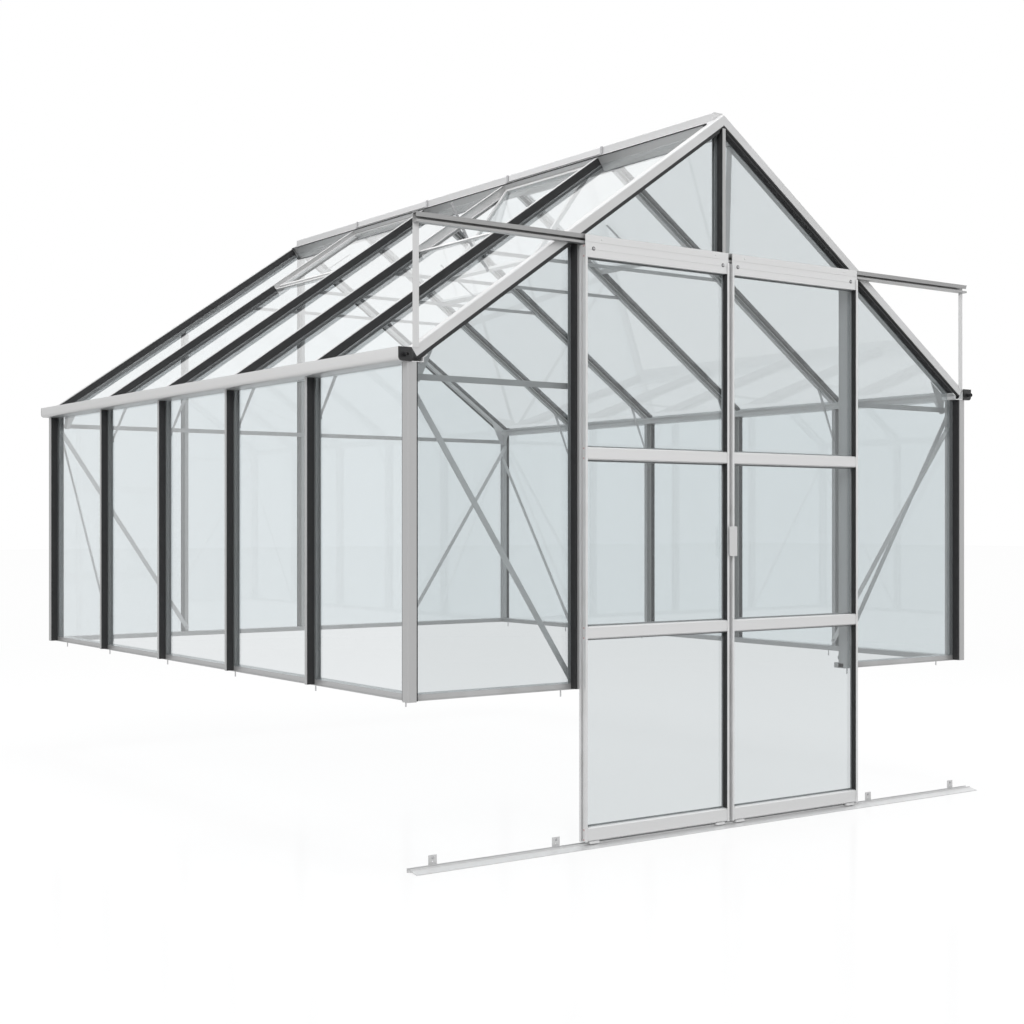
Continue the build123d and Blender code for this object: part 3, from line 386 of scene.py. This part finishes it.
# Black ring round each plate screw: painted shade of the screw's recess
plateShadeRing = profileOf(washerAndShadeRingShape, screws["shadeRingRadius"], screws["washerAndShadeRingHeight"])
plateHead = profileOf(headShape, screws["screwRadius"], screws["screwHeight"])
rivetHead = profileOf(domeShape, screws["rivetRadius"], screws["rivetHeight"])
flankWasher = profileOf(washerAndShadeRingShape, screws["flankRadius"], screws["washerAndShadeRingHeight"])
flankHead = profileOf(domeShape, screws["flankRadius"] * screws["flankHeadShare"], screws["flankHeight"])
for side, body in ((-1, "left_door"), (1, "right_door")):
    heads, shadeRings, rivets, flanks, fibres = (bmesh.new() for _ in range(5))
    for x in screws["screwPlaces"]:
        place = Vector((side * x, screws["plateFace"], screws["screwLevel"]))
        lift = Vector((0, -screws["washerAndShadeRingHeight"], 0))
        turnHead(shadeRings, place, (0, -1, 0), plateShadeRing, screws["shadeRingSides"])
        turnHead(heads, place + lift, (0, -1, 0), plateHead)
    for x in screws["rivetPlaces"]:
        place = (side * x, screws["plateFace"], screws["rivetLevel"])
        turnHead(rivets, place, (0, -1, 0), rivetHead)
    for level in screws["flankLevels"]:
        for step in (-screws["flankSpread"], screws["flankSpread"]):
            place = Vector((side * screws["flankFace"], screws["flankDepth"], level + step))
            lift = Vector((side * screws["washerAndShadeRingHeight"], 0, 0))
            turnHead(fibres, place, (side, 0, 0), flankWasher)
            turnHead(flanks, place + lift, (side, 0, 0), flankHead)
    # Painted shade: black rings for the recess round the plate screws
    finishPiece(shadeRings, body + "_plate_shade_rings", rubber, body)
    finishPiece(heads, body + "_plate_screws", steel, body)
    finishPiece(rivets, body + "_plate_rivets", railFace, body)
    finishPiece(fibres, body + "_flank_washers", red, body)
    finishPiece(flanks, body + "_flank_screws", steel, body)

# Screws in the upper holes of the rail's tabs
tabScrew = {
    "places": (-1.23, -0.75, 0.75, 1.23),
    "face": -3.171,
    "level": -0.486,
    "radius": 0.0046,
    "height": 0.0026,
}
tabHead = profileOf(headShape, tabScrew["radius"], tabScrew["height"])
tabHeads = bmesh.new()
for x in tabScrew["places"]:
    turnHead(tabHeads, (x, tabScrew["face"], tabScrew["level"]), (0, -1, 0), tabHead)
finishPiece(tabHeads, "tab_screws", steel, "house")
print("screws of the doors and tabs made")


# Bolts at both ends of each strap inside the house
def looseParts(name):
    work = bmesh.new()
    work.from_mesh(nodes[name].data)
    bmesh.ops.remove_doubles(work, verts=work.verts, dist=1e-6)
    seen, parts = set(), []
    for first in work.verts:
        if first in seen:
            continue
        seen.add(first)
        part, waiting = [], [first]
        while waiting:
            vert = waiting.pop()
            part.append(vert.co.copy())
            for edge in vert.link_edges:
                other = edge.other_vert(vert)
                if other not in seen:
                    seen.add(other)
                    waiting.append(other)
        parts.append(part)
    work.free()
    return parts


def middleOf(points):
    total = Vector((0, 0, 0))
    for point in points:
        total += point
    return total / len(points)


def strapEnds(part, axis, reach=0.02):
    low = min(point[axis] for point in part)
    high = max(point[axis] for point in part)
    first = middleOf([point for point in part if point[axis] < low + reach])
    last = middleOf([point for point in part if point[axis] > high - reach])
    return first, last


strapBolt = {"radius": 0.0048, "height": 0.0034, "sides": 6, "inset": 0.011, "middle": -1.558}
# Each strap's long axis, and the axis that its bolts point along
straps = {
    "knee_braces": (2, 1),
    "wall_braces": (2, 0),
    "gable_braces": (2, 1),
    "collar_ties": (0, 1),
    "gable_ties": (0, 1),
}
boltHead = profileOf(headShape, strapBolt["radius"], strapBolt["height"])
boltHeads = bmesh.new()
for name, (along, across) in straps.items():
    for part in looseParts(name):
        first, last = strapEnds(part, along)
        step = (last - first).normalized() * strapBolt["inset"]
        houseMiddle = strapBolt["middle"] if across == 1 else 0
        inward = -1 if middleOf(part)[across] > houseMiddle else 1
        if name in ("knee_braces", "collar_ties"):
            inward = -1
        levels = [point[across] for point in part]
        face = min(levels) if inward < 0 else max(levels)
        out = [0, 0, 0]
        out[across] = inward
        for place in (first + step, last - step):
            place[across] = face
            turnHead(boltHeads, place, out, boltHead, strapBolt["sides"])
finishPiece(boltHeads, "strap_bolts", steel, "house")
print("bolts of the straps made")

# Ridge: plugs in its ends, black edge seals, head plates of the vents and clips on the bars
ridge = {
    "plug": (
        (-0.0239, 1.9896), (-0.0239, 2.0156), (-0.0208, 2.0189),
        (0.0208, 2.0189), (0.0239, 2.0156), (0.0239, 1.9896),
    ),
    "front": -3.139,
    "rear": 0.023,
    "plugInset": 0.0006,
    "plugDepth": 0.002,
    "sealInside": 0.0533,
    "sealOutside": 0.0551,
    "sealLow": 1.9729,
    "sealHigh": 1.9774,
    "sealInset": 0.001,
    "barPlaces": (-2.5078, -1.8746, -1.2414, -0.6082),
    "flank": 0.027,
    "plateThickness": 0.0022,
    "plateLow": 1.9925,
    "plateHigh": 2.0165,
    "plateInset": 0.008,
    "lipReach": 0.0045,
    "lipRoot": 0.002,
    "lipUpper": 0.0005,
    "lipLower": 0.0015,
    "clipHalf": 0.006,
    "clipThickness": 0.005,
    "clipLow": 1.9905,
    "clipHigh": 2.0205,
    "hookReach": 0.004,
    "hookDrop": 0.005,
    "hookBevel": 0.002,
    "hookShoulder": 0.003,
}
plugs, seals, headPlates, clips = (bmesh.new() for _ in range(4))
frontPlug = ridge["front"] + ridge["plugInset"]
rearPlug = ridge["rear"] - ridge["plugInset"]
pushOutline(plugs, ridge["plug"], 1, frontPlug, frontPlug + ridge["plugDepth"])
pushOutline(plugs, ridge["plug"], 1, rearPlug - ridge["plugDepth"], rearPlug)
plateLow, plateHigh = ridge["plateLow"], ridge["plateHigh"]
clipLow, clipHigh, hookReach = ridge["clipLow"], ridge["clipHigh"], ridge["hookReach"]
for side in (-1, 1):
    inside, outside = side * ridge["sealInside"], side * ridge["sealOutside"]
    seal = [
        (inside, ridge["sealLow"]), (outside, ridge["sealLow"]),
        (outside, ridge["sealHigh"]), (inside, ridge["sealHigh"]),
    ]
    sealFront, sealRear = ridge["front"] + ridge["sealInset"], ridge["rear"] - ridge["sealInset"]
    pushOutline(seals, seal, 1, sealFront, sealRear)
    flank = side * ridge["flank"]
    skin = flank + side * ridge["plateThickness"]
    lip = skin + side * ridge["lipReach"]
    plate = [
        (flank, plateHigh), (skin, plateHigh), (skin, plateLow + ridge["lipRoot"]),
        (lip, plateLow + ridge["lipUpper"]), (lip, plateLow - ridge["lipLower"]), (flank, plateLow),
    ]
    for start, stop in ((0, 1), (2, 3)):
        near = ridge["barPlaces"][start] + ridge["plateInset"]
        far = ridge["barPlaces"][stop] - ridge["plateInset"]
        pushOutline(headPlates, plate, 1, near, far)
    clip = flank + side * ridge["clipThickness"]
    tip = clip + side * hookReach
    hook = [
        (flank, clipLow), (clip, clipLow - hookReach), (tip, clipLow - ridge["hookDrop"]), (tip, clipLow),
        (clip, clipLow + hookReach), (clip, clipHigh - ridge["hookShoulder"]),
        (clip - side * ridge["hookBevel"], clipHigh), (flank, clipHigh - hookReach),
    ]
    for place in ridge["barPlaces"]:
        pushOutline(clips, hook, 1, place - ridge["clipHalf"], place + ridge["clipHalf"])
finishPiece(plugs, "ridge_plugs", ridgeFace, "house")
finishPiece(seals, "ridge_edge_seals", rubber, "house")
finishPiece(headPlates, "vent_head_plates", lengthwise, "house")
finishPiece(clips, "bar_head_clips", steel, "house")

# Black plugs in the cut ends of the rafters' feet
foot = {
    "plug": ((-1.3067, 1.0953), (-1.2797, 1.0568), (-1.2810, 1.0559), (-1.3080, 1.0944)),
    "frontY": (-3.1709, -3.1152),
    "rearY": (-0.0008, 0.0549),
}
footPlugs = bmesh.new()
for side in (-1, 1):
    mirrored = [(-side * x, z) for x, z in foot["plug"]]
    for near, far in (foot["frontY"], foot["rearY"]):
        pushOutline(footPlugs, mirrored, 1, near, far)
finishPiece(footPlugs, "rafter_foot_plugs", blackPlastic, "house")

# Black seals between the rafters and the glass of the gables
rafterSeal = {
    "apex": 1.96997,
    "riseHigh": -0.0042,
    "riseLow": -0.0125,
    "inside": 0.0162,
    "reach": 1.279,
    "frontY": (-3.1655, -3.1415),
    "rearY": (0.0255, 0.0495),
}


def roofLevel(x, rise):
    return rafterSeal["apex"] - abs(x) * math.tan(roofPitch) + rise / math.cos(roofPitch)


rafterSeals = bmesh.new()
for side in (-1, 1):
    end = side * rafterSeal["reach"]
    start = side * rafterSeal["inside"]
    band = [
        (start, roofLevel(start, rafterSeal["riseHigh"])),
        (end, roofLevel(end, rafterSeal["riseHigh"])),
        (end, roofLevel(end, rafterSeal["riseLow"])),
        (start, roofLevel(start, rafterSeal["riseLow"])),
    ]
    for near, far in (rafterSeal["frontY"], rafterSeal["rearY"]):
        pushOutline(rafterSeals, band, 1, near, far)
finishPiece(rafterSeals, "rafter_face_seals", rubber, "house")

# Plates that close the sills' ends at the doorway
sillEnd = {
    "face": 0.645,
    "thickness": 0.0012,
    "near": -3.1148,
    "far": -3.0932,
    "low": 0.0004,
    "high": 0.0198,
}
sillPlates = bmesh.new()
for side in (-1, 1):
    inner, outer = side * (sillEnd["face"] - sillEnd["thickness"]), side * sillEnd["face"]
    face = [
        (inner, sillEnd["low"]), (outer, sillEnd["low"]),
        (outer, sillEnd["high"]), (inner, sillEnd["high"]),
    ]
    pushOutline(sillPlates, face, 1, sillEnd["near"], sillEnd["far"])
finishPiece(sillPlates, "sill_end_plates", upright, "house")
print("ridge, rafter and sill fittings made")

# Plain pale floor
floorSizes = {
    "half": 60.0,
    "nearWhiteness": 0.90,
    "farWhiteness": 1.0,
    "fadeStart": 4.0,
    "fadeEnd": 9.0,
    "seenPaint": (0.95, 0.95, 0.95),
    "litPaint": (0.28, 0.28, 0.28),
    "sheen": 0.06,
    "rough": 0.9,
    "polishRough": 0.12,
}
floorMesh = bpy.data.meshes.new("studioFloor")
reach = floorSizes["half"]
corners = [(-reach, -reach, 0), (reach, -reach, 0), (reach, reach, 0), (-reach, reach, 0)]
floorMesh.from_pydata(corners, [], [(0, 1, 2, 3)])
floor = bpy.data.objects.new("studioFloor", floorMesh)
floor.location = (0, (cadLow.y + cadHigh.y) / 2, cadLow.z)
bpy.context.scene.collection.objects.link(floor)
floorPaint, floorTree, floorSurface = newMaterial("paleFloor")
floorSurface.inputs["Roughness"].default_value = floorSizes["rough"]
glow = addNode(floorTree, "ShaderNodeEmission")
gloss = addNode(floorTree, "ShaderNodeBsdfGlossy")
gloss.inputs["Roughness"].default_value = floorSizes["polishRough"]
floorSight = anyRay(floorTree, sightRays)
# The mix node's colour sockets share their names with others, so they go by number
colourA, colourB, colourResult = 6, 7, 2
paint = addNode(floorTree, "ShaderNodeMix", data_type="RGBA")
paint.inputs[colourA].default_value = (*floorSizes["litPaint"], 1)
paint.inputs[colourB].default_value = (*floorSizes["seenPaint"], 1)
share = addNode(floorTree, "ShaderNodeMath", operation="MULTIPLY")
fromMiddle = addNode(floorTree, "ShaderNodeTexCoord")
howFar = addNode(floorTree, "ShaderNodeVectorMath", operation="LENGTH")
whiteness = addNode(floorTree, "ShaderNodeMapRange")
whiteness.inputs["From Min"].default_value = floorSizes["fadeStart"]
whiteness.inputs["From Max"].default_value = floorSizes["fadeEnd"]
whiteness.inputs["To Min"].default_value = floorSizes["nearWhiteness"]
whiteness.inputs["To Max"].default_value = floorSizes["farWhiteness"]
floorTree.links.new(fromMiddle.outputs["Object"], howFar.inputs[0])
floorTree.links.new(howFar.outputs["Value"], whiteness.inputs["Value"])
floorTree.links.new(whiteness.outputs["Result"], share.inputs[1])
whiten = addNode(floorTree, "ShaderNodeMixShader")
polish = addNode(floorTree, "ShaderNodeMixShader")
polish.inputs["Fac"].default_value = floorSizes["sheen"]
floorTree.links.new(floorSight, share.inputs[0])
floorTree.links.new(floorSight, paint.inputs["Factor"])
floorTree.links.new(paint.outputs[colourResult], floorSurface.inputs["Base Color"])
floorTree.links.new(share.outputs["Value"], whiten.inputs["Fac"])
floorTree.links.new(floorSurface.outputs["BSDF"], whiten.inputs[1])
floorTree.links.new(glow.outputs["Emission"], whiten.inputs[2])
floorTree.links.new(whiten.outputs["Shader"], polish.inputs[1])
floorTree.links.new(gloss.outputs["BSDF"], polish.inputs[2])
floorTree.links.new(polish.outputs["Shader"], floorTree.nodes["Material Output"].inputs["Surface"])
floorMesh.materials.append(floorPaint)

# White surroundings, dimmer for the light that falls on the object
skyLight = {"seen": 1.0, "ambient": 0.34, "ambientTint": (0.97, 0.985, 1.0)}
world = bpy.data.worlds.new("studio")
bpy.context.scene.world = world
world.use_nodes = True
worldTree = world.node_tree
shown = worldTree.nodes["Background"]
shown.inputs["Color"].default_value = (1, 1, 1, 1)
shown.inputs["Strength"].default_value = skyLight["seen"]
lit = addNode(worldTree, "ShaderNodeBackground")
lit.inputs["Color"].default_value = (*skyLight["ambientTint"], 1)
lit.inputs["Strength"].default_value = skyLight["ambient"]
choose = addNode(worldTree, "ShaderNodeMixShader")
worldTree.links.new(anyRay(worldTree, sightRays), choose.inputs["Fac"])
worldTree.links.new(lit.outputs["Background"], choose.inputs[1])
worldTree.links.new(shown.outputs["Background"], choose.inputs[2])
worldTree.links.new(choose.outputs["Shader"], worldTree.nodes["World Output"].inputs["Surface"])

# Soft studio lamps
lamps = {
    "keyLamp": {"at": (-6.5, -8.0, 5.5), "size": 5.0, "watts": 520.0},
    "topLamp": {"at": (0.0, -2.0, 9.5), "size": 6.0, "watts": 900.0},
    "fillLamp": {"at": (7.0, -6.0, 3.5), "size": 5.0, "watts": 200.0},
    "rearLamp": {"at": (1.0, 8.0, 6.0), "size": 6.0, "watts": 200.0},
}
centre = (cadLow + cadHigh) / 2
for name, lamp in lamps.items():
    area = bpy.data.lights.new(name, "AREA")
    area.shape = "DISK"
    area.size = lamp["size"]
    area.energy = lamp["watts"]
    lampObject = bpy.data.objects.new(name, area)
    lampObject.location = lamp["at"]
    lampObject.rotation_euler = (centre - Vector(lamp["at"])).to_track_quat("-Z", "Y").to_euler()
    lampObject.visible_camera = False
    lampObject.visible_glossy = False
    lampObject.visible_transmission = False
    bpy.context.scene.collection.objects.link(lampObject)

# Camera at the photograph's place
view = {
    "place": (-3.890, -7.338, 0.552),
    "yaw": 35.756,
    "lens": 55.8,
    "sensor": 36.0,
    "clipEnd": 200.0,
    "shiftX": -0.0094,
    "shiftY": 0.0114,
}
cameraData = bpy.data.cameras.new("photoCamera")
cameraData.lens = view["lens"]
cameraData.sensor_width = view["sensor"]
cameraData.shift_x = view["shiftX"]
cameraData.shift_y = view["shiftY"]
cameraData.clip_end = view["clipEnd"]
camera = bpy.data.objects.new("photoCamera", cameraData)
camera.location = view["place"]
camera.rotation_euler = (math.radians(90), 0, -math.radians(view["yaw"]))
bpy.context.scene.collection.objects.link(camera)
bpy.context.scene.camera = camera
bpy.context.scene.view_settings.view_transform = "Standard"
print("studio and camera set")
